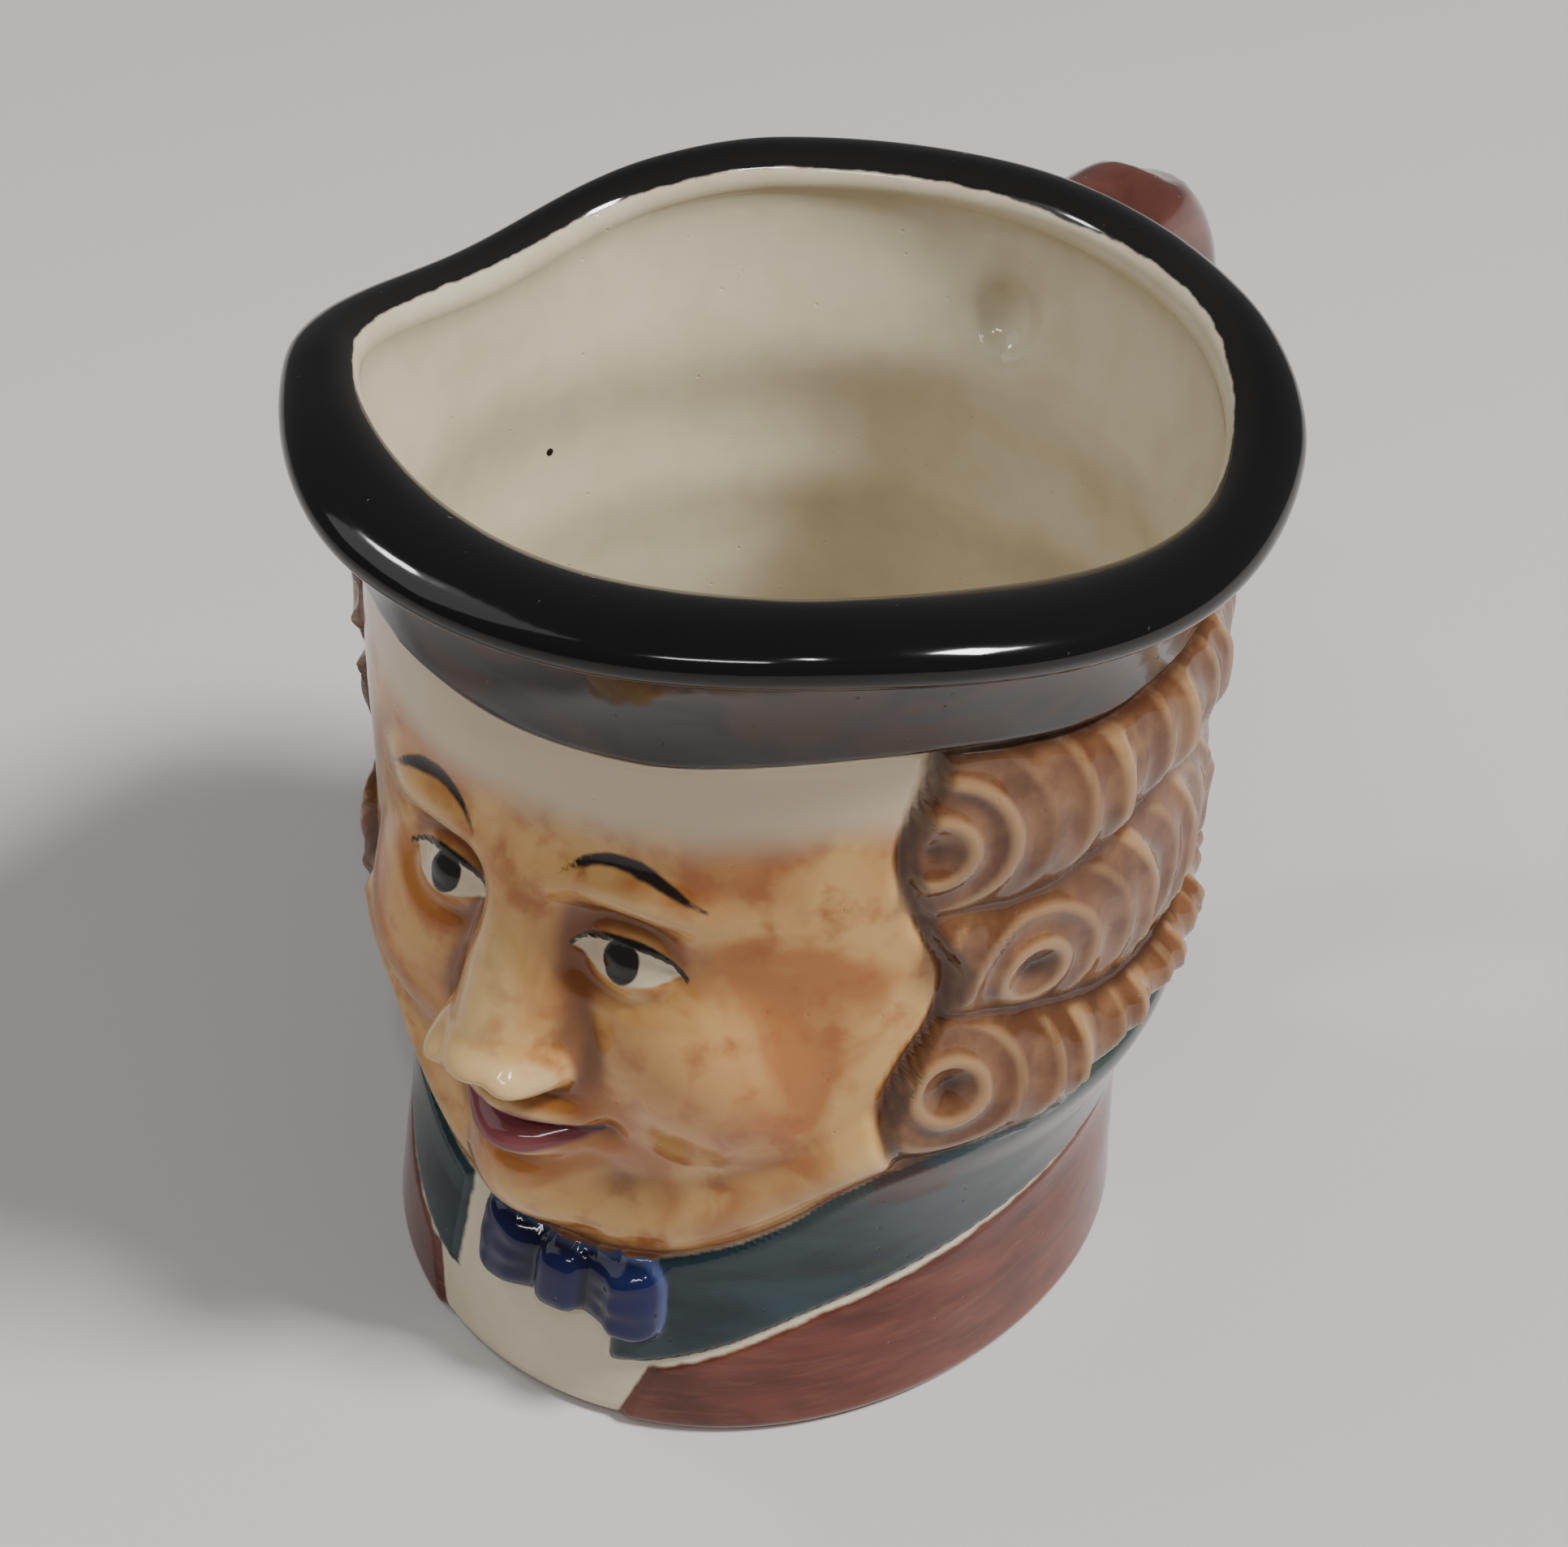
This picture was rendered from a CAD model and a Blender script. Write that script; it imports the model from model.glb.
"""A small glazed earthenware head jug on a pale table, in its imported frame."""
import math

import bmesh
import bpy
import numpy as np
from mathutils import Matrix, Vector, kdtree


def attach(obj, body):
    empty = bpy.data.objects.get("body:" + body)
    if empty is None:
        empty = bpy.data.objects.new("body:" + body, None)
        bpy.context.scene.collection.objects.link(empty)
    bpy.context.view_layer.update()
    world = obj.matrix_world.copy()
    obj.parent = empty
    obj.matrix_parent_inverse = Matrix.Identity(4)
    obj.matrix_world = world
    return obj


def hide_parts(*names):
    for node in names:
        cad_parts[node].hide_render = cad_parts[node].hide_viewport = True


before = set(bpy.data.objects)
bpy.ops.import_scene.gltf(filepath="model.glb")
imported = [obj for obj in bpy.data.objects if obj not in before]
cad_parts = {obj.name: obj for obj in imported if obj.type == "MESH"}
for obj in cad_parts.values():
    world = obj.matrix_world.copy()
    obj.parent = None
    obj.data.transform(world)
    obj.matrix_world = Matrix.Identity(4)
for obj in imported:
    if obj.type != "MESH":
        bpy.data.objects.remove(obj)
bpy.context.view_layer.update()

# The body. Slip-cast white earthenware: a head under a hat whose rolled brim is the rim, with
# three tiers of curls, a collar, a coat and a bow tie in low relief, all one wall about 4 mm
# thick. It is turned as a plain drum of rings, and each ring is then pushed to its true shape.
MM = 0.001
WALL = 4.0 * MM
FLOOR = 5.0 * MM
COVE = 7.0 * MM
FOOT_EDGE = 1.5 * MM
HEAD_HEIGHT = 73.0 * MM
HALF = 38.0 * MM
HAT_HEIGHT = 16.7 * MM
HAT_STEP = 0.8 * MM
BRIM_ROLL = 5.0 * MM
BRIM_SADDLE = 3.2 * MM
BRIM_PINCH = 3.4 * MM
ROLL_START = -65.0
ROLL_END = 205.0
# Share of the head's height, then half width, front depth and back depth as shares of HALF
BODY_LEVELS = np.array((
    (0.000, 0.905, 1.035, 0.880),
    (0.110, 0.885, 0.990, 0.900),
    (0.240, 0.868, 0.925, 0.945),
    (0.370, 0.920, 0.905, 0.980),
    (0.465, 0.985, 0.925, 0.990),
    (0.575, 0.960, 0.935, 0.970),
    (0.710, 0.945, 0.925, 0.965),
    (0.850, 0.955, 0.910, 0.960),
    (1.000, 0.945, 0.890, 0.950),
))
# The brim's ovals, by half width, front depth and back depth
BRIM_OUTER = (41.9 * MM, 41.2 * MM, 44.6 * MM)
BRIM_INNER = (35.8 * MM, 31.4 * MM, 36.8 * MM)
# Each hump is a size, an angle and a half width in degrees
HAT_LINE_HUMPS = ((2.2 * MM, 50, 32), (2.2 * MM, -50, 32), (-0.7 * MM, 0, 30))
BRIM_TOP_HUMPS = ((-BRIM_SADDLE, 92, 52), (-BRIM_SADDLE, -98, 46), (-1.0 * MM, 0, 40))
BRIM_OUTER_HUMPS = ((-BRIM_PINCH, -92, 36), (-1.4 * MM, -48, 34), (-1.6 * MM, 150, 36))
BRIM_INNER_HUMPS = ((-0.9 * BRIM_PINCH, -92, 34), (-0.8 * BRIM_PINCH, 70, 34),
                    (-0.8 * MM, 150, 36))


def dome(q):
    """A round hump: 1 in the middle, falling smoothly to 0 at a distance of 1."""
    return np.clip(1.0 - q * q, 0.0, None) ** 2


def curve_through(x, stations, values):
    """A smooth curve through the stations, read at x."""
    stations, values = np.asarray(stations, float), np.asarray(values, float)
    slopes = np.gradient(values, stations)
    x = np.clip(x, stations[0], stations[-1])
    i = np.clip(np.searchsorted(stations, x) - 1, 0, len(stations) - 2)
    span = stations[i + 1] - stations[i]
    t = (x - stations[i]) / span
    return ((1 + 2 * t) * (1 - t) ** 2 * values[i] + t * (1 - t) ** 2 * span * slopes[i]
            + t * t * (3 - 2 * t) * values[i + 1] + t * t * (t - 1) * span * slopes[i + 1])


def oval(angle, wide, front, back):
    """Radius of an oval whose front and back halves have their own depths."""
    turn = np.radians(angle)
    deep = np.where(np.cos(turn) > 0, front, back)
    return ((np.sin(turn) / wide) ** 2 + (np.cos(turn) / deep) ** 2) ** -0.5


def humps(angle, table):
    """The sum of the humps in a table of sizes, middles and half widths around the jug."""
    return sum(size * dome(((angle - centre + 180.0) % 360.0 - 180.0) / half_width)
               for size, centre, half_width in table)


def body_radius(angle, height):
    """The plain head and shoulders under all the carving."""
    share = np.minimum(height / HEAD_HEIGHT, 1.0)
    return oval(angle, *(HALF * curve_through(share, BODY_LEVELS[:, 0], BODY_LEVELS[:, i])
                         for i in (1, 2, 3)))


def hat_line(angle):
    return HEAD_HEIGHT + humps(angle, HAT_LINE_HUMPS)


def brim_point(angle, turn):
    """A point on the rolled brim: turn is 0 at its outer edge and 90 on its crest."""
    outer = oval(angle, *BRIM_OUTER) + humps(angle, BRIM_OUTER_HUMPS)
    inner = oval(angle, *BRIM_INNER) + humps(angle, BRIM_INNER_HUMPS)
    radius = (outer + inner) / 2 + (outer - inner) / 2 * np.cos(np.radians(turn))
    top = HEAD_HEIGHT + HAT_HEIGHT + humps(angle, BRIM_TOP_HUMPS)
    return radius, top - BRIM_ROLL / 2 * (1.0 - np.sin(np.radians(turn)))


# The face. It is generic: three equal thirds high and five eyes wide, calm, and mirrored about
# the nose. Heights count in thirds up from the chin, widths in eyes out from the nose, and
# each lump has its depth, its place, its half width and its half height.
FACE_CHIN = 22.5 * MM
FACE_THIRD = 18.0 * MM
FACE_EYE = 10.4 * MM
NOSE_LENGTH = 7.6 * MM
NOSE_RIDGE = ((0.88, 0.97, 1.12, 1.30, 1.60, 1.85, 2.10, 2.45),
              (0.00, 0.30, 1.00, 0.86, 0.56, 0.30, 0.14, 0.00))
NOSE_SIDE = ((0.90, 1.12, 1.50, 2.00), (0.88, 0.84, 0.66, 0.62))
FACE_LUMPS = (
    (2.6, 0.43, 1.08, 0.30, 0.17),    # wings of the nose
    (-0.9, 0.24, 0.955, 0.15, 0.06),  # nostril
    (-0.5, 0.66, 1.12, 0.09, 0.17),   # crease behind the wing
    (-2.6, 0.92, 1.76, 0.90, 0.38),   # eye socket
    (3.1, 1.00, 1.69, 0.56, 0.22),    # eyeball under its lids
    (1.4, 1.05, 2.07, 1.05, 0.22),    # brow
    (2.6, 1.65, 1.12, 1.15, 0.66),    # cheek
    (2.7, 0.00, 0.68, 1.35, 0.62),    # the mouth's round
    (-0.4, 0.00, 0.88, 0.16, 0.10),   # groove under the nose
    (1.7, 0.00, 0.76, 0.95, 0.13),    # upper lip
    (2.1, 0.00, 0.55, 0.80, 0.14),    # lower lip
    (-1.7, 0.00, 0.66, 1.02, 0.06),   # the line between them
    (-0.8, 0.86, 0.66, 0.22, 0.16),   # corner of the mouth
    (-0.7, 0.00, 0.40, 0.70, 0.10),   # hollow over the chin
    (4.0, 0.00, 0.20, 1.05, 0.44),    # chin
)
LID_CENTRE = (1.00, 1.69)
LID_HALF = 0.53
UPPER_LID = 0.105
LOWER_LID = 0.085
LID_DEPTH = 0.55 * MM


def step(q):
    """A smooth step from 0 to 1 as q goes from 0 to 1."""
    q = np.clip(q, 0.0, 1.0)
    return q * q * (3.0 - 2.0 * q)


def lid_arcs(x):
    """Heights, in thirds, of the upper and the lower lid's edge across an eye."""
    bend = 1.0 - ((x - LID_CENTRE[0]) / LID_HALF) ** 2
    return LID_CENTRE[1] + UPPER_LID * bend, LID_CENTRE[1] - LOWER_LID * bend


def face_relief(angle, height):
    x = np.abs(np.radians(angle)) * HALF / FACE_EYE
    y = (height - FACE_CHIN) / FACE_THIRD
    nose = dome(x / curve_through(y, *NOSE_SIDE))
    relief = NOSE_LENGTH * curve_through(y, *NOSE_RIDGE) * nose
    for depth, across, up, half_width, half_height in FACE_LUMPS:
        relief += depth * MM * dome(np.hypot((x - across) / half_width, (y - up) / half_height))
    upper, lower = lid_arcs(x)
    in_eye = step((upper - y) / 0.03) * step((y - lower) / 0.03) * (y < upper) * (y > lower)
    return relief - LID_DEPTH * in_eye


# The hair. Each tier is a row of curls like shells, every one with thin ridges around its own
# eye and lying over the next one back. The ridges are the carver's gouge lines in the mould.
HAIR_BULGE = 1.7 * MM
CURL_LIFT = 1.9 * MM
RIDGE_HEIGHT = 0.65 * MM
RIDGE_SPACING = 3.5 * MM
RIDGE_WIDTH = 1.35 * MM
# The hair's front edge, as shares of the head's height and degrees around from the nose
HAIR_FRONT = ((0.45, 0.51, 0.60, 0.66, 0.72, 0.80, 0.90, 1.00),
              (53.0, 50.5, 53.5, 57.5, 59.0, 55.0, 52.0, 55.5))
# The lower edge of each tier, as shares of the head's height at these angles
TIER_ANGLES = (50, 60, 70, 88, 110, 180)
TIER_EDGES = (
    (0.805, 0.805, 0.800, 0.840, 0.830, 0.830),
    (0.665, 0.655, 0.630, 0.590, 0.580, 0.580),
    (0.450, 0.450, 0.455, 0.500, 0.500, 0.500),
)
# The first curl of each tier: its eye's angle and share of the height, its reach and the pitch
FIRST_CURLS = (
    (55.0, 0.905, 18.5 * MM, 9.5 * MM),
    (70.5, 0.690, 14.5 * MM, 8.0 * MM),
    (58.5, 0.560, 14.0 * MM, 8.0 * MM),
)
CURLS_IN_A_TIER = 12
CURL_STAGGER = 1.2 * MM       # every other curl sits this much higher
CURL_EYE = 1.9 * MM
CURL_EDGE = 1.2 * MM
RIDGE_WANDER = 0.14 * MM
RIM_RIDGE = 0.8 * MM          # how far the last ridge is inside a curl's edge
WORN = 0.55                   # how much lower the ridges are at six tenths of the way out
TIER_LAP = 1.0 * MM


def curl_relief(from_eye, reach, bearing, number):
    """A curl's shape and how far a point is up on its ridges, from 0 to 1."""
    wander = RIDGE_WANDER * np.sin(2 * bearing + 1.7 * number)
    ridges = sum(dome((from_eye + wander - (turn + 0.9) * RIDGE_SPACING) / RIDGE_WIDTH)
                 for turn in range(int(reach / RIDGE_SPACING)))
    ridges = np.maximum(ridges, dome((reach - RIM_RIDGE - from_eye) / RIDGE_WIDTH))
    ridges = ridges * (1.0 - WORN * dome((from_eye - 0.6 * reach) / (0.25 * reach)))
    climb = CURL_LIFT * (from_eye / reach - 0.5) * step((reach - from_eye) / CURL_EDGE)
    eye = dome(from_eye / CURL_EYE)
    return climb + RIDGE_HEIGHT * (ridges - 0.8 * eye), ridges


def hair_relief(angle, height):
    side = np.abs(angle)
    upper_edge = hat_line(angle) + TIER_LAP
    relief, ridges = np.zeros_like(height), np.zeros_like(height)
    for shares, (first_eye, eye_share, reach, pitch) in zip(TIER_EDGES, FIRST_CURLS):
        lower_edge = HEAD_HEIGHT * curve_through(side, TIER_ANGLES, shares)
        across = (2 * height - upper_edge - lower_edge) / (upper_edge - lower_edge)
        up = height - eye_share * HEAD_HEIGHT
        along = np.radians(side - first_eye) * HALF
        curls, lines = np.zeros_like(height), np.zeros_like(height)
        for number in reversed(range(CURLS_IN_A_TIER)):
            back = along - number * pitch
            rise = up - number % 2 * CURL_STAGGER
            from_eye, bearing = np.hypot(back, rise), np.arctan2(rise, back)
            shape, ridge = curl_relief(from_eye, reach, bearing, number)
            curls = np.where(from_eye < reach, shape, curls)
            lines = np.where(from_eye < reach, ridge, lines)
        edge = step(1.25 - np.abs(across))
        here = np.abs(across) < 1.0
        relief = np.where(here, HAIR_BULGE * (1.0 - across ** 2) + curls * edge, relief)
        ridges = np.where(here, lines * step((1.0 - np.abs(across)) / 0.2), ridges)
        upper_edge = lower_edge
    return relief, ridges


def hair_distance(angle, height):
    """How far a point is inside the hair, in metres."""
    front = curve_through(height / HEAD_HEIGHT, *HAIR_FRONT)
    lower_edge = HEAD_HEIGHT * curve_through(np.abs(angle), TIER_ANGLES, TIER_EDGES[-1])
    return np.minimum(np.radians(np.abs(angle) - front) * HALF,
                      np.minimum(height - lower_edge, hat_line(angle) - height))


# The clothes. A wide collar over a coat that opens on the shirt, and a bow tie with a round
# knot and two pleated wings. They are carved into the same mould, under 3 mm proud.
# The collar's upper and lower edge, as degrees and shares of the head's height
COLLAR_TOP = ((0, 14, 26, 38, 50, 62, 80, 180),
              (0.25, 0.25, 0.28, 0.335, 0.42, 0.46, 0.49, 0.50))
COLLAR_FOOT = ((0, 18, 28, 42, 56, 70, 180), (0.09, 0.10, 0.13, 0.18, 0.21, 0.235, 0.25))
COLLAR_THICKNESS = 0.7 * MM
COLLAR_FRONT = 13.0           # degrees from the middle
COAT_THICKNESS = 0.5 * MM
BOW_WIDTH = 20.5 * MM
BOW_HEIGHT = 9.5 * MM
BOW_THICKNESS = 2.6 * MM
BOW_ANGLE = 6.0
BOW_WAIST = 0.60              # the wings' height at the knot, as a share of their ends'
KNOT_HALF = 0.26              # shares of the bow's own half width and half height
KNOT_HEIGHT = 0.72
KNOT_LIFT = 1.15
BOW_MIDDLE = 15.0 * MM
PLEAT = 0.12 * MM
PLEATS_IN_A_TURN = 9.0
COAT_OPENING = 14.5           # degrees at the foot, and how many more at a tenth of the head up
COAT_SPREAD = 5.0


def collar_top(angle):
    return HEAD_HEIGHT * curve_through(np.abs(angle), *COLLAR_TOP)


def collar_foot(angle):
    return HEAD_HEIGHT * curve_through(np.abs(angle), *COLLAR_FOOT)


def bow_shape(angle, height):
    """The bow's relief, and a value that is positive on it and zero at its edge."""
    x = np.radians(angle - BOW_ANGLE) * HALF / (BOW_WIDTH / 2)
    y = (height - BOW_MIDDLE) / (BOW_HEIGHT / 2)
    spread = BOW_WAIST + (1.0 - BOW_WAIST) * np.clip(np.abs(x), 0, 1)
    sides = np.clip((np.abs(x) - 0.1) / 0.9, 0, 1.5) ** 6
    inside_wing = 1.0 - (y / spread) ** 4 - sides
    wing = np.sqrt(np.clip(inside_wing, 0, 1)) * (0.65 + 0.35 * step((np.abs(x) - 0.2) / 0.35))
    inside_knot = 1.0 - (x / KNOT_HALF) ** 4 - (y / KNOT_HEIGHT) ** 4
    knot = KNOT_LIFT * np.sqrt(np.clip(inside_knot, 0, 1))
    pleats = np.cos(np.arctan2(y, np.abs(x) + 0.05) * PLEATS_IN_A_TURN) * step((np.abs(x) - 0.25) / 0.2)
    relief = BOW_THICKNESS * np.maximum(wing, knot) + PLEAT * pleats * (wing > 0) * wing
    return relief, np.maximum(inside_wing, inside_knot)


def coat_edge(height):
    """The angle of the coat's front edge."""
    return COAT_OPENING + COAT_SPREAD * height / (0.1 * HEAD_HEIGHT)


def clothes_relief(angle, height):
    side = np.abs(angle)
    collar = (step((collar_top(angle) - height) / MM) * step((side - COLLAR_FRONT) / 2.0)
              * step((height - collar_foot(angle)) / MM))
    coat = step((collar_foot(angle) - height) / MM) * step((side - coat_edge(height)) / 1.5)
    return COLLAR_THICKNESS * collar + COAT_THICKNESS * coat + bow_shape(angle, height)[0]


# The two sides of the wall. The mould carries all the carving, and the slip that settled on it
# echoes the carving softly inside, with a few folds where it drained.
HAIR_EDGE = 1.2 * MM
CREASE_DEPTH = 0.8 * MM       # between hair and skin
CREASE_WIDTH = 1.7 * MM
JAW_ROUND = 1.4 * MM
JAW_RISE = 4.5 * MM
JAW_SPREAD = 5.5 * MM
FLARE_STRAIGHT = 0.35         # the share of the hat's flare that is straight
NOSE_ECHO = 2.2 * MM
CAVITY_FOLDS = ((1.9 * MM, 158, 17), (-1.2 * MM, 128, 16), (1.4 * MM, -62, 20),
                (-1.0 * MM, -128, 24))
CURL_ECHO = 0.5 * HAIR_BULGE
CURL_ECHO_FROM = 50.0         # degrees from the middle
LIP_START = 0.93 * HEAD_HEIGHT


def outside(angle, height):
    """Radius of the jug's outer surface below the rolled brim."""
    hat_radius, hat_top = brim_point(angle, ROLL_START)
    head = body_radius(angle, height)
    deep = hair_distance(angle, height)
    hair = step(deep / HAIR_EDGE + 0.3)
    skin = step((height - collar_top(angle)) / HAIR_EDGE) * (1.0 - hair)
    hat = step((height - hat_line(angle)) / HAT_STEP)
    crease = -CREASE_DEPTH * dome(deep / CREASE_WIDTH)
    jaw = JAW_ROUND * dome((height - collar_top(angle) - JAW_RISE) / JAW_SPREAD)
    carving = (skin * (face_relief(angle, height) + jaw + crease)
               + hair * hair_relief(angle, height)[0] + clothes_relief(angle, height))
    rise = np.clip((height - HEAD_HEIGHT) / (hat_top - HEAD_HEIGHT), 0.0, 1.0)
    flare = (hat_radius - head) * (FLARE_STRAIGHT * rise + (1.0 - FLARE_STRAIGHT) * rise ** 2)
    return head + (1.0 - hat) * carving + hat * HAT_STEP * (1.0 - rise) + flare


def inside(angle, height):
    """Radius of the cavity: the wall's thickness in, with a soft echo of the carving."""
    lip_radius, lip_height = brim_point(angle, ROLL_END)
    echo = humps(angle, ((NOSE_ECHO, 0, 17),)) * dome((height / HEAD_HEIGHT - 0.60) / 0.20)
    for _, eye_share, _, _ in FIRST_CURLS:
        tier_round = dome((height / HEAD_HEIGHT - eye_share) / 0.12)
        echo = echo + CURL_ECHO * tier_round * step((np.abs(angle) - CURL_ECHO_FROM) / 16.0)
    echo = echo + humps(angle, CAVITY_FOLDS) * dome((height / HEAD_HEIGHT - 0.55) / 0.42)
    wall = body_radius(angle, height) - WALL + echo
    rise = step((height - LIP_START) / (lip_height - LIP_START))
    return wall + (lip_radius - wall) * rise


def floor_ring(angle, share):
    return share * (inside(angle, FLOOR + COVE) - COVE), np.full_like(angle, FLOOR)


def cove_ring(angle, share):
    turn = np.radians(90.0 * share)
    return (inside(angle, FLOOR + COVE) - COVE * (1.0 - np.sin(turn)),
            FLOOR + COVE * (1.0 - np.cos(turn)))


def cavity_ring(angle, share):
    top = brim_point(angle, ROLL_END)[1]
    height = FLOOR + COVE + share * (top - FLOOR - COVE)
    return inside(angle, height), height


def brim_ring(angle, share):
    return brim_point(angle, ROLL_END + share * (ROLL_START - ROLL_END))


def figure_ring(angle, share):
    top = brim_point(angle, ROLL_START)[1]
    height = top - share * (top - FOOT_EDGE)
    return outside(angle, height), height


def foot_ring(angle, share):
    turn = np.radians(90.0 * share)
    return (outside(angle, np.full_like(angle, FOOT_EDGE)) - FOOT_EDGE * (1.0 - np.cos(turn)),
            FOOT_EDGE * (1.0 - np.sin(turn)))


def underside_ring(angle, share):
    edge = outside(angle, np.full_like(angle, FOOT_EDGE)) - FOOT_EDGE
    return (1.0 - share) * edge, np.zeros_like(angle)


# The drum, its mesh and the push of every ring to its true shape
COLUMNS = 336
FRONT_CROWDING = 0.35      # columns stand closer at the face than behind
RING_GAP = 0.1 * MM
RING_SHAPES = ((floor_ring, 5), (cove_ring, 7), (cavity_ring, 44), (brim_ring, 26),
               (figure_ring, 186), (foot_ring, 4), (underside_ring, 5))
rings = [(floor_ring, 0.0)]
for ring_shape, count in RING_SHAPES:
    rings += [(ring_shape, (number + 1) / count) for number in range(count)]

drum = bmesh.new()
line = [drum.verts.new((0.0 if number in (0, len(rings) - 1) else HALF, 0.0, -number * RING_GAP))
        for number in range(len(rings))]
line += [drum.edges.new(pair) for pair in zip(line[:-1], line[1:])]
bmesh.ops.spin(drum, geom=line, cent=(0, 0, 0), axis=(0, 0, 1), angle=math.tau, steps=COLUMNS,
               use_merge=True)
bmesh.ops.remove_doubles(drum, verts=drum.verts, dist=RING_GAP / 10)
body_mesh = bpy.data.meshes.new("jug_body")
drum.to_mesh(body_mesh)
drum.free()

flat = np.empty(len(body_mesh.vertices) * 3)
body_mesh.vertices.foreach_get("co", flat)
points = flat.reshape(-1, 3)
ring_of = np.rint(-points[:, 2] / RING_GAP).astype(int)
around = np.arctan2(points[:, 0], -points[:, 1])
around = around - FRONT_CROWDING * np.sin(around)
angles = np.degrees(around)
for number, (ring_shape, share) in enumerate(rings):
    mine = ring_of == number
    radius, height = ring_shape(angles[mine], share)
    points[mine, 0] = radius * np.sin(around[mine])
    points[mine, 1] = -radius * np.cos(around[mine])
    points[mine, 2] = height
body_mesh.vertices.foreach_set("co", points.ravel())
body = bpy.data.objects.new("jug_body", body_mesh)
bpy.context.scene.collection.objects.link(body)
finish = bmesh.new()
finish.from_mesh(body_mesh)
bmesh.ops.recalc_face_normals(finish, faces=finish.faces)
finish.to_mesh(body_mesh)
finish.free()

# The handle. A round pull of clay, stuck on with slip and smoothed at both roots, with a dimple
# where the thumb goes. Casting leaves a hollow in the cavity's wall behind the upper root.
# How far back the handle's middle line is, its height and its radius, in millimetres
HANDLE_LINE = ((33, 76, 8.6), (38.5, 77.0, 7.3), (44, 78.4, 6.7), (51, 79.4, 6.4),
               (60, 77.6, 6.2), (66.9, 67, 5.9), (64.5, 51, 5.6), (54, 36.4, 5.3),
               (44, 30.8, 5.2), (38.5, 28.8, 5.9), (34, 27.8, 7.0))
DIMPLE = Vector((0.0, 62.0, 86.0)) * MM
DIMPLE_RADIUS = 6.5 * MM
DIMPLE_DEPTH = 1.6 * MM
HOLLOW_PLACE = Vector((0.8, 33.4, 79.0)) * MM
HOLLOW_SIZE = Vector((4.4, 3.8, 4.4)) * MM
HOLLOW_TURN = math.radians(-25)
CORE_HEIGHTS = (8, 20, 32, 44, 56, 68, 80, 86)
CORE_COLUMNS = 96

handle_curve = bpy.data.curves.new("handle", "CURVE")
handle_curve.dimensions = "3D"
handle_curve.bevel_depth = 1.0
handle_curve.bevel_resolution = 9
handle_curve.use_fill_caps = True
spline = handle_curve.splines.new("BEZIER")
spline.resolution_u = 11
spline.bezier_points.add(len(HANDLE_LINE) - 1)
for point, (y, z, thick) in zip(spline.bezier_points, HANDLE_LINE):
    point.co = (0.0, y * MM, z * MM)
    point.radius = thick * MM
    point.handle_left_type = point.handle_right_type = "AUTO"
curve_object = bpy.data.objects.new("handle_curve", handle_curve)
bpy.context.scene.collection.objects.link(curve_object)
bpy.context.view_layer.update()
graph = bpy.context.evaluated_depsgraph_get()
handle_mesh = bpy.data.meshes.new_from_object(curve_object.evaluated_get(graph))
bpy.data.objects.remove(curve_object)
pull = bmesh.new()
pull.from_mesh(handle_mesh)
bmesh.ops.remove_doubles(pull, verts=pull.verts, dist=0.01 * MM)
bmesh.ops.recalc_face_normals(pull, faces=pull.faces)
for vertex in pull.verts:
    closeness = (vertex.co - DIMPLE).length / DIMPLE_RADIUS
    if closeness < 1.0:
        vertex.co.z -= DIMPLE_DEPTH * (1.0 - closeness ** 2) ** 2
pull.to_mesh(handle_mesh)
pull.free()
handle = bpy.data.objects.new("handle", handle_mesh)
bpy.context.scene.collection.objects.link(handle)

# The core fills the middle of the wall and all inside it, and cuts the handle's ends off there
core = bmesh.new()
profile = [core.verts.new((inside(np.array([90.0]), np.array([z * MM]))[0] + WALL / 2, 0, z * MM))
           for z in CORE_HEIGHTS]
profile += [core.edges.new(pair) for pair in zip(profile[:-1], profile[1:])]
bmesh.ops.spin(core, geom=profile, cent=(0, 0, 0), axis=(0, 0, 1), angle=math.tau, steps=CORE_COLUMNS,
               use_merge=True)
bmesh.ops.holes_fill(core, edges=[edge for edge in core.edges if edge.is_boundary])
for vertex in core.verts:
    turn = math.degrees(math.atan2(vertex.co.x, -vertex.co.y))
    radius = inside(np.array([turn]), np.array([vertex.co.z]))[0] + WALL / 2
    vertex.co.xy = vertex.co.xy.normalized() * radius
bmesh.ops.recalc_face_normals(core, faces=core.faces)
core_mesh = bpy.data.meshes.new("core")
core.to_mesh(core_mesh)
core.free()
core_object = bpy.data.objects.new("core", core_mesh)

hollow = bmesh.new()
bmesh.ops.create_uvsphere(hollow, u_segments=32, v_segments=20, radius=1.0)
bmesh.ops.scale(hollow, verts=hollow.verts, vec=HOLLOW_SIZE)
bmesh.ops.rotate(hollow, verts=hollow.verts, matrix=Matrix.Rotation(HOLLOW_TURN, 3, "Z"))
bmesh.ops.translate(hollow, verts=hollow.verts, vec=HOLLOW_PLACE)
hollow_mesh = bpy.data.meshes.new("hollow")
hollow.to_mesh(hollow_mesh)
hollow.free()
hollow_object = bpy.data.objects.new("hollow", hollow_mesh)
for cutter in (core_object, hollow_object):
    bpy.context.scene.collection.objects.link(cutter)

for target, other, operation in ((handle, core_object, "DIFFERENCE"), (body, handle, "UNION"),
                                 (body, hollow_object, "DIFFERENCE")):
    boolean = target.modifiers.new(other.name, "BOOLEAN")
    boolean.object = other
    boolean.operation = operation
    boolean.solver = "MANIFOLD"
bpy.context.view_layer.update()
graph = bpy.context.evaluated_depsgraph_get()
jug_mesh = bpy.data.meshes.new_from_object(body.evaluated_get(graph))
jug_mesh.name = "jug"

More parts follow.
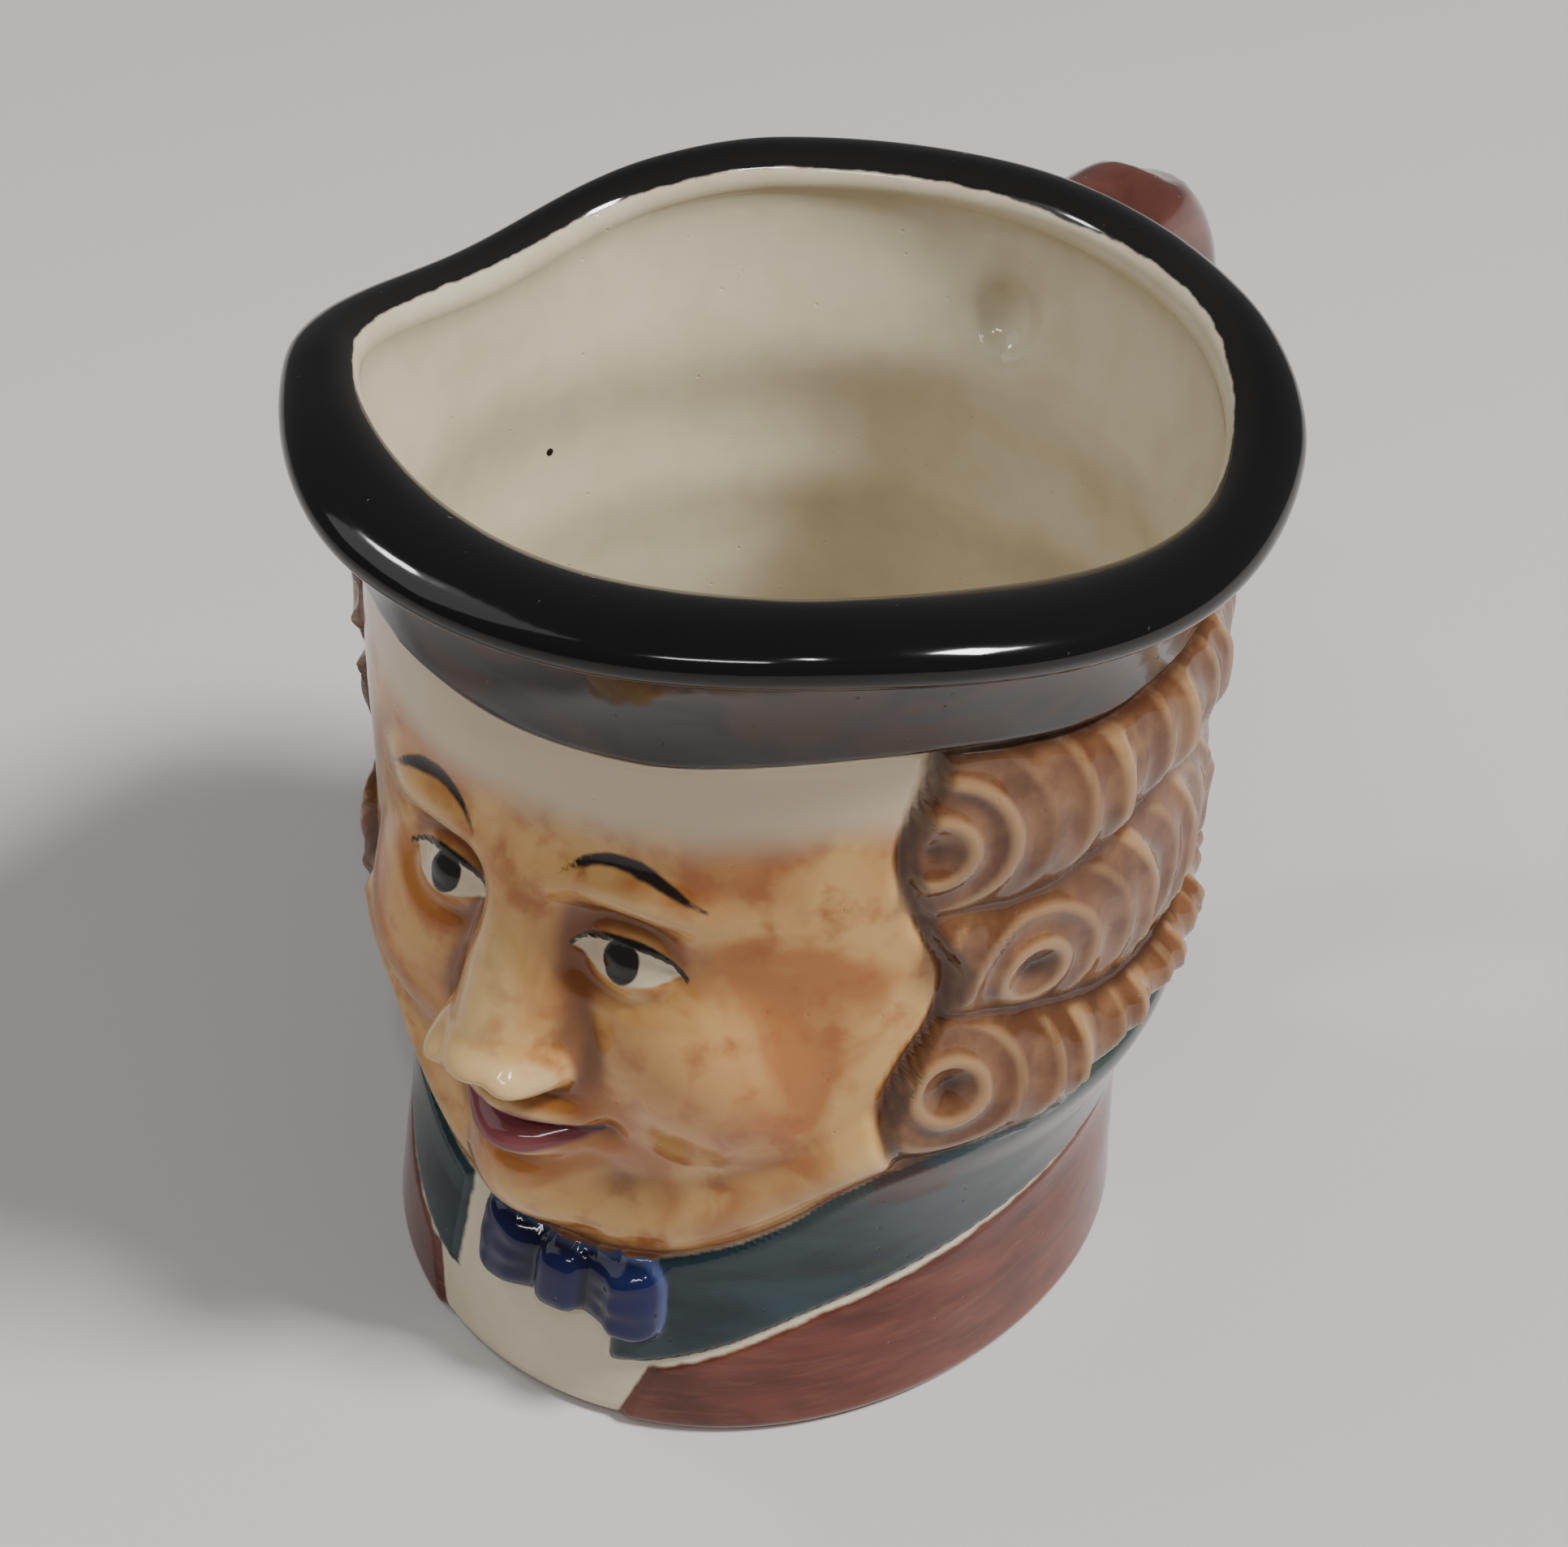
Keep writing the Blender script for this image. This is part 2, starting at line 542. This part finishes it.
# The paint. Underglaze colours brushed on by hand, each in its own field of the carving. Every
# field is kept on the mesh as the distance in millimetres to its edge, so that the material can
# draw a ragged brush edge there that is finer than the mesh.
BLACK_FROM = 84.6             # millimetres up
BLACK_EDGE = 149.0            # degrees around the roll, 90 being its crest
BLACK_EDGE_HUMPS = ((-12, -92, 40), (-16, 145, 30), (10, 0, 60))
NOT_PAINTED = -20.0
SKIN_UNDER_HAIR = 1.5         # in millimetres
BROW_START = 0.42             # in eyes, as are BROW_LENGTH and MOUTH_HALF
BROW_LENGTH = 1.32
BROW_HEIGHT = 2.10            # in thirds, as are the next five
BROW_ARCH = 0.17
MOUTH_LINE = 0.66
UPPER_LIP = 0.105
LIP_NOTCH = 0.025
LOWER_LIP = 0.15
MOUTH_HALF = 0.82
BROW_WIDTH = 0.62             # in millimetres, as are the next three
LASH_WIDTH = 0.34
MOUTH_WIDTH = 0.32
IRIS_RADIUS = 1.8
IRIS_PLACE = (10.2, 1.70)     # millimetres out from the nose, and thirds up
TUFT_RADIUS = 2.9
TUFT_PLACE = (56.0, 29.0)     # degrees, and millimetres up
FIELDS = ("brim", "hat", "skin", "hair", "ridge", "collar", "coat", "bow", "handle", "crevice",
          "tuft", "brow", "lash", "iris", "eye", "lip", "mouth", "blush")


def outside_fields(angle, height):
    """The fields on the outer surface, from the foot to where the brim starts to roll."""
    side, z = np.abs(angle), height / MM
    across = np.radians(side) * HALF / MM
    eyes, thirds = across * MM / FACE_EYE, (height - FACE_CHIN) / FACE_THIRD
    hair = hair_distance(angle, height) / MM
    top, foot = collar_top(angle) / MM, collar_foot(angle) / MM
    upper, lower = lid_arcs(eyes)
    lash_span = 1.0 - ((eyes - LID_CENTRE[0] - 0.03) / (LID_HALF + 0.03)) ** 2
    brow_share = (eyes - BROW_START) / BROW_LENGTH
    brow_line = BROW_HEIGHT + BROW_ARCH * np.sin(np.pi * np.clip(brow_share, 0, 1) ** 0.8)
    brow_width = BROW_WIDTH * np.clip(brow_share * (1 - brow_share) * 4, -1, 1) + 0.04
    mouth_span = 1.0 - (eyes / MOUTH_HALF) ** 2
    lip_top = MOUTH_LINE + 0.005 + UPPER_LIP * mouth_span - LIP_NOTCH * dome(eyes / 0.14)
    lip_foot = MOUTH_LINE - 0.005 - LOWER_LIP * np.maximum(mouth_span, -1)
    coat_side = np.radians(side - coat_edge(height)) * HALF / MM
    return {
        "brim": z - BLACK_FROM,
        "hat": (height - hat_line(angle)) / MM,
        "skin": np.minimum(z - top, SKIN_UNDER_HAIR - hair),
        "hair": hair,
        "ridge": hair_relief(angle, height)[1] * (1.0 - 0.45 * step((side - 95.0) / 40.0)),
        "collar": np.minimum(np.minimum(top - z, z - foot),
                             np.radians(side - COLLAR_FRONT - 0.5) * HALF / MM),
        "coat": np.minimum(foot - 0.5 - z, coat_side),
        "bow": 4.0 * bow_shape(angle, height)[1],
        "tuft": TUFT_RADIUS - np.hypot(np.radians(side - TUFT_PLACE[0]) * HALF / MM / 1.5,
                                       z - TUFT_PLACE[1]),
        "brow": brow_width - np.abs(thirds - brow_line) * FACE_THIRD / MM,
        "lash": np.minimum(LASH_WIDTH - np.abs(thirds - upper) * FACE_THIRD / MM,
                           3 * lash_span),
        "iris": np.minimum(IRIS_RADIUS - np.hypot(across - IRIS_PLACE[0],
                                                  (thirds - IRIS_PLACE[1]) * FACE_THIRD / MM),
                           (upper - thirds) * FACE_THIRD / MM),
        "eye": np.minimum(upper - thirds, thirds - lower) * FACE_THIRD / MM,
        "lip": np.minimum(np.minimum(lip_top - thirds, thirds - lip_foot) * FACE_THIRD / MM,
                          6 * mouth_span),
        "mouth": np.minimum(MOUTH_WIDTH - np.abs(thirds - MOUTH_LINE) * FACE_THIRD / MM,
                            5 * mouth_span),
        "blush": 1.0 - np.hypot((eyes - 1.75) / 1.1, (thirds - 1.0) / 0.6),
    }


def brim_fields(angle, turn):
    """The brim is black from under its roll to a ragged line just past its crest."""
    edge = BLACK_EDGE + humps(angle, BLACK_EDGE_HUMPS)
    inner = np.radians(edge - turn) * BRIM_ROLL / 2 / MM
    return {"brim": inner, "hat": inner}


fields = {name: np.full(len(points), NOT_PAINTED) for name in FIELDS}
for name in ("ridge", "crevice"):
    fields[name][:] = 0.0
first = 0
for ring_shape, count in RING_SHAPES:
    for number in range(count):
        mine = ring_of == first + number + 1
        if ring_shape is brim_ring:
            turn = ROLL_END + (number + 1) / count * (ROLL_START - ROLL_END)
            found = brim_fields(angles[mine], turn)
        elif ring_shape in (figure_ring, foot_ring):
            height = np.maximum(points[mine, 2], 0.0)
            found = outside_fields(angles[mine], height)
        else:
            continue
        for name, values in found.items():
            fields[name][mine] = values
    first += count

# How far each point lies above or below its surroundings, for the wash that settles in hollows
SMOOTHING_ROUNDS = 30
out = np.hypot(points[:, 0], points[:, 1])
order = np.lexsort((angles, ring_of))
full = np.bincount(ring_of, minlength=len(rings)) == COLUMNS
grid_rings = [number for number in range(len(rings)) if full[number]]
grid = np.array([out[order[ring_of[order] == number]] for number in grid_rings])
smooth = grid.copy()
for _ in range(SMOOTHING_ROUNDS):
    smooth = (smooth + np.roll(smooth, 1, 1) + np.roll(smooth, -1, 1)) / 3
    smooth[1:-1] = (smooth[1:-1] + smooth[2:] + smooth[:-2]) / 3
relief = (grid - smooth) / MM
for row, number in enumerate(grid_rings):
    mine = order[ring_of[order] == number]
    if rings[number][0] is figure_ring:
        fields["crevice"][mine] = relief[row]

HOLLOW_REACH = 5.2 * MM
HOLLOW_RIM = 4.6 * MM
SEAM = 1.1 * MM
SPONGE_STROKES = 14


# The Boolean modifiers made new points, so every point takes the fields of the nearest one on
# the body, and the handle's field is added where its own surface is nearer than the body's.
def nearest_point(places, wanted):
    """For each wanted point, the number of the nearest place and how far off it is."""
    tree = kdtree.KDTree(len(places))
    for number, place in enumerate(places):
        tree.insert(place, number)
    tree.balance()
    found = [tree.find(point) for point in wanted]
    return np.array([item[1] for item in found]), np.array([item[2] for item in found])


jug_points = [vertex.co.copy() for vertex in jug_mesh.vertices]
from_body, off_body = nearest_point([Vector(point) for point in points], jug_points)
off_handle = nearest_point([vertex.co.copy() for vertex in handle_mesh.vertices], jug_points)[1]
fields = {name: values[from_body] for name, values in fields.items()}
fields["handle"] = np.where(off_handle < 0.5 * off_body, -NOT_PAINTED, NOT_PAINTED)
from_hollow = np.array([(point - HOLLOW_PLACE).length for point in jug_points])
for name in FIELDS:
    bare = 0.0 if name in ("ridge", "crevice") else NOT_PAINTED
    fields[name][from_hollow < HOLLOW_REACH] = bare

# The joints are sponged smooth while the clay is soft
at_root = np.maximum(off_body, off_handle) < SEAM
at_hollow = np.abs(from_hollow - HOLLOW_RIM) < SEAM + 0.3 * MM
seam = at_root | at_hollow
sponged = bmesh.new()
sponged.from_mesh(jug_mesh)
sponged.verts.ensure_lookup_table()
seam_points = [sponged.verts[number] for number in np.flatnonzero(seam)]
for _ in range(SPONGE_STROKES):
    bmesh.ops.smooth_vert(sponged, verts=seam_points, factor=0.5, use_axis_x=True,
                          use_axis_y=True, use_axis_z=True)
sponged.to_mesh(jug_mesh)
sponged.free()
for name in FIELDS:
    attribute = jug_mesh.attributes.new(name, "FLOAT", "POINT")
    attribute.data.foreach_set("value", fields[name])

jug = bpy.data.objects.new("jug", jug_mesh)
bpy.context.scene.collection.objects.link(jug)
for leftover in (body, handle, core_object, hollow_object):
    bpy.data.objects.remove(leftover)
jug_mesh.shade_smooth()


def linear(colour):
    """An sRGB hex colour as the linear values that a shader takes."""
    parts = [int(colour[i:i + 2], 16) / 255 for i in (0, 2, 4)]
    return [*(c / 12.92 if c <= 0.04045 else ((c + 0.055) / 1.055) ** 2.4 for c in parts), 1.0]


def node(tree, kind, inputs=None, **settings):
    """Adds a node with its settings. Inputs give a socket a value, a hex colour or a link."""
    made = tree.nodes.new(kind)
    for name, value in settings.items():
        setattr(made, name, value)
    for socket, value in (inputs or {}).items():
        if isinstance(value, bpy.types.NodeSocket):
            tree.links.new(value, made.inputs[socket])
        else:
            made.inputs[socket].default_value = linear(value) if isinstance(value, str) else value
    return made


# Hand-painted earthenware under a clear, thick lead-type glaze: dead smooth and wet-looking,
# over colours that pool in the hollows and thin out to the cream body on the ridges.
paint = bpy.data.materials.new("painted_glazed_earthenware")
paint.use_nodes = True
nodes = paint.node_tree
shader = nodes.nodes["Principled BSDF"]
place = node(nodes, "ShaderNodeTexCoord").outputs["Object"]
painted = {name: node(nodes, "ShaderNodeAttribute", attribute_name=name).outputs["Fac"]
           for name in FIELDS}
crevice = painted["crevice"]

# Marks of brush and kiln: the size of a patch in mm, its detail, its stretch and its distortion
BRUSHWORK = {
    "edge": (2.381, 4.0, (1.0, 1.0, 1.0), 0.0),
    "patches": (10.526, 3.0, (1.0, 1.0, 1.0), 0.6),
    "mottle": (3.846, 4.0, (1.0, 1.0, 1.0), 0.0),
    "streaks": (10.526, 4.0, (1.0, 1.0, 3.2), 0.4),
    "bristles": (1.923, 3.0, (0.35, 0.35, 2.4), 0.0),
    "glaze": (5.882, 2.0, (1.0, 1.0, 1.0), 0.0),
}
brush = {}
for name, (size, detail, stretch, distortion) in BRUSHWORK.items():
    where = node(nodes, "ShaderNodeMapping", {"Vector": place, "Scale": stretch}).outputs[0]
    noise = node(nodes, "ShaderNodeTexNoise", {"Vector": where, "Scale": 1 / (size * MM),
                                               "Detail": detail, "Distortion": distortion})
    brush[name] = noise.outputs["Fac"]


def washed(under, over, mark, low, high, strength=1.0):
    """One colour washed over another, up to the strength, as a mark goes from low to high."""
    # Sockets 6 and 7 are the Mix node's two colours, and output 2 is its colour
    share = node(nodes, "ShaderNodeMapRange", {"Value": mark, "From Min": low, "From Max": high,
                                               "To Max": strength},
                 interpolation_type="SMOOTHSTEP")
    return node(nodes, "ShaderNodeMix", {0: share.outputs[0], 6: under, 7: over},
                data_type="RGBA").outputs[2]


def brushed_on(under, over, name, wobble, soft=0.12, shift=0.0):
    """A colour laid inside a painted field, whose edge wobbles by so many millimetres."""
    ragged = node(nodes, "ShaderNodeMath", {0: brush["edge"], 1: 2 * wobble, 2: painted[name]},
                  operation="MULTIPLY_ADD").outputs[0]
    edge = shift + wobble
    return washed(under, over, ragged, edge - soft, edge + soft)


# Cream clay with faint iron specks 2 mm apart
specks = node(nodes, "ShaderNodeTexVoronoi", {"Vector": place, "Scale": 1 / (1.923 * MM)})
clay = washed("cfc5ac", "c9bea3", brush["mottle"], 0.35, 0.75)
clay = washed(clay, "8a7350", specks.outputs["Distance"], 0.10, 0.02, 0.16)

# Skin in ochre washes that fade to bare clay under the hat
skin = washed("cb9f62", "a96d38", brush["patches"], 0.38, 0.64)
skin = washed(skin, "9c5a2a", brush["mottle"], 0.48, 0.72, 0.85)
skin = washed(skin, "b0602c", painted["blush"], 0.0, 0.8, 0.40)
skin = washed(skin, "dcc08c", crevice, 0.1, 1.0, 0.60)
skin = washed(skin, "6f3f22", crevice, -0.10, -0.85, 0.90)
under_hat = node(nodes, "ShaderNodeMath", {0: brush["patches"], 1: 4.0, 2: painted["hat"]},
                 operation="MULTIPLY_ADD").outputs[0]
skin = washed(skin, "c6b498", under_hat, -7.5, -2.5)

# Brown hair, wiped pale on its ridges and dark in its grooves
hair = washed("5e3c27", "7f5a3d", brush["mottle"], 0.35, 0.68)
hair = washed(hair, "6d4429", brush["patches"], 0.45, 0.68, 0.5)
hair = washed(hair, "a8855e", painted["ridge"], 0.30, 0.95, 0.75)
hair = washed(hair, "331e14", crevice, 0.0, -0.85, 0.85)
hair_edge = node(nodes, "ShaderNodeMath", {0: painted["hair"]}, operation="ABSOLUTE").outputs[0]

# The hat's brown band and black brim, the clothes and the handle
band = washed("1e1611", "3c2a1d", brush["patches"], 0.40, 0.60)
band = washed(band, "2b2a29", brush["streaks"], 0.50, 0.66)
black = washed("1c1a18", "0d0d0e", painted["brim"], 0.0, 2.5)
collar = washed("14232a", "263a40", brush["streaks"], 0.28, 0.72)
collar = washed(collar, "303d28", brush["patches"], 0.55, 0.70, 0.8)
coat = washed("4a241d", "6d3a2e", brush["streaks"], 0.25, 0.72)
coat = washed(coat, "84523f", brush["bristles"], 0.5, 0.75, 0.3)
bow = washed("0a0e2a", "141b44", crevice, -0.6, 0.9)
bow = washed(bow, "424e74", painted["bow"], 1.3, 0.2)
handle_red = washed("472721", "643a31", brush["streaks"], 0.25, 0.75)

# One speck of iron fired black on the cavity's wall
SPECK_ANGLE = -103.75
SPECK_HEIGHT = 64.85 * MM
speck_turn = math.radians(SPECK_ANGLE)
speck_radius = inside(np.array([SPECK_ANGLE]), np.array([SPECK_HEIGHT]))[0]
speck = (speck_radius * math.sin(speck_turn), -speck_radius * math.cos(speck_turn), SPECK_HEIGHT)
off_speck = node(nodes, "ShaderNodeVectorMath", {0: place, 1: speck}, operation="DISTANCE")
height_up = node(nodes, "ShaderNodeSeparateXYZ", {0: place}).outputs["Z"]

# The colours in the order in which they are laid on
colour = brushed_on(clay, skin, "skin", 0.3, 0.5, -0.3)
colour = brushed_on(colour, hair, "hair", 0.9, 0.5)
colour = washed(colour, "472917", hair_edge, 1.5, 0.1, 0.8)
colour = washed(colour, "15120f", off_speck.outputs["Value"], 0.45 * MM, 0.33 * MM)
colour = brushed_on(colour, coat, "coat", 0.25, 0.2)
colour = brushed_on(colour, collar, "collar", 0.25, 0.2, 0.15)
colour = brushed_on(colour, "32190f", "tuft", 1.2, 0.6)
colour = brushed_on(colour, bow, "bow", 0.6, 0.3)
colour = brushed_on(colour, band, "hat", 0.35, 0.25, 0.3)
colour = brushed_on(colour, black, "brim", 0.35, 0.15)
colour = brushed_on(colour, handle_red, "handle", 0.0)
colour = washed(colour, "a9927a", height_up, 1.1 * MM, 0.6 * MM)
colour = brushed_on(colour, "cfc0a6", "eye", 0.0, 0.15)
colour = brushed_on(colour, "26201c", "iris", 0.1)
colour = brushed_on(colour, "1f1813", "lash", 0.16)
colour = brushed_on(colour, "241b16", "brow", 0.3, 0.2)
colour = brushed_on(colour, "7c4246", "lip", 0.2, 0.4)
colour = brushed_on(colour, "3a1d1e", "mouth", 0.1, 0.15)
nodes.links.new(colour, shader.inputs["Base Color"])

# The glaze lies in slow waves, with pinholes 3 mm apart, drawn coarser than real to show
WAVE_HEIGHT = 0.6 * MM
PIT_DEPTH = 0.2 * MM
waves = node(nodes, "ShaderNodeBump", {"Height": brush["glaze"], "Strength": 0.10,
                                       "Distance": WAVE_HEIGHT}).outputs[0]
pits = node(nodes, "ShaderNodeTexVoronoi", {"Vector": place, "Scale": 1 / (3.0303 * MM)})
pit = node(nodes, "ShaderNodeMapRange", {"Value": pits.outputs["Distance"], "From Min": 0.02,
                                         "From Max": 0.075}, interpolation_type="SMOOTHSTEP")
pitted = node(nodes, "ShaderNodeBump", {"Height": pit.outputs[0], "Normal": waves,
                                        "Strength": 0.35, "Distance": PIT_DEPTH})
nodes.links.new(pitted.outputs[0], shader.inputs["Normal"])
shader.inputs["Roughness"].default_value = 0.09
shader.inputs["IOR"].default_value = 1.46
# The Boolean modifiers leave empty slots behind
jug_mesh.materials.clear()
jug_mesh.materials.append(paint)
jug_mesh.polygons.foreach_set("material_index", np.zeros(len(jug_mesh.polygons), int))

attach(jug, "root")
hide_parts("toby_jug")

# The table. A sheet of pale laminate, pressed smooth and matt, wide enough to fill the view.
bpy.ops.mesh.primitive_plane_add(size=4.0, location=(0, 0, 0))
table = bpy.context.object
table.name = "table"
laminate = bpy.data.materials.new("pale_laminate")
laminate.use_nodes = True
sheet = laminate.node_tree.nodes["Principled BSDF"]
sheet.inputs["Base Color"].default_value = linear("cbc7c4")
sheet.inputs["Roughness"].default_value = 0.45
table.data.materials.append(laminate)


# The lights. One lamp high on the right, a strip and a small lamp whose glare runs along the
# brim, a smaller one for the glint on the glaze, and a weak fill, under an even pale room.
def light(name, place, aim, size, power, colour="ffffff"):
    """A soft rectangular studio light."""
    lamp = bpy.data.lights.new(name, "AREA")
    lamp.shape = "RECTANGLE"
    lamp.size, lamp.size_y = size
    lamp.energy = power
    lamp.color = linear(colour)[:3]
    made = bpy.data.objects.new(name, lamp)
    made.location = place
    made.rotation_euler = (Vector(aim) - Vector(place)).to_track_quat("-Z", "Y").to_euler()
    bpy.context.scene.collection.objects.link(made)


light("key", (0.9, 0.3, 1.3), (0, 0, 0.05), (0.30, 0.30), 33.0)
light("strip_front", (0.2, -0.9, 1.2), (0, 0, 0.08), (0.5, 0.06), 3.0)
light("spark", (-0.76, -0.13, 0.95), (0, 0, 0.08), (0.10, 0.10), 1.6)
light("glint", (0.39, -0.46, 1.04), (0, 0, 0.06), (0.05, 0.05), 1.0)
light("fill", (-0.9, -0.5, 1.0), (0, 0, 0.05), (0.8, 0.8), 2.0)
world = bpy.data.worlds.new("studio")
world.use_nodes = True
world.node_tree.nodes["Background"].inputs["Color"].default_value = linear("dcdad8")
world.node_tree.nodes["Background"].inputs["Strength"].default_value = 0.22
bpy.context.scene.world = world

# The camera. Held close and high in front of the figure's left shoulder, as in the photograph.
LENS_PIXELS = 3100
FRAME_PIXELS = 1932
CAMERA_DISTANCE = 229 * MM
CAMERA_AIM = Vector((0, 0, 46.5)) * MM
CAMERA_SHIFT = 0.9 * MM
CAMERA_TURN, CAMERA_TILT, CAMERA_ROLL = (math.radians(a) for a in (35.0, 38.3, 1.2))
back = Vector((math.sin(CAMERA_TURN) * math.cos(CAMERA_TILT),
               -math.cos(CAMERA_TURN) * math.cos(CAMERA_TILT), math.sin(CAMERA_TILT)))
right = Vector((math.cos(CAMERA_TURN), math.sin(CAMERA_TURN), 0.0))
up = back.cross(right)
eye_point = CAMERA_AIM + CAMERA_SHIFT * right + CAMERA_DISTANCE * back
right, up = (math.cos(CAMERA_ROLL) * right + math.sin(CAMERA_ROLL) * up,
             math.cos(CAMERA_ROLL) * up - math.sin(CAMERA_ROLL) * right)
camera_data = bpy.data.cameras.new("camera")
camera_data.sensor_width = 36.0
camera_data.sensor_fit = "HORIZONTAL"
camera_data.lens = LENS_PIXELS * camera_data.sensor_width / FRAME_PIXELS
camera_data.clip_start = 0.01
camera = bpy.data.objects.new("camera", camera_data)
camera.matrix_world = Matrix((right, up, back)).transposed().to_4x4()
camera.location = eye_point
bpy.context.scene.collection.objects.link(camera)
bpy.context.scene.camera = camera
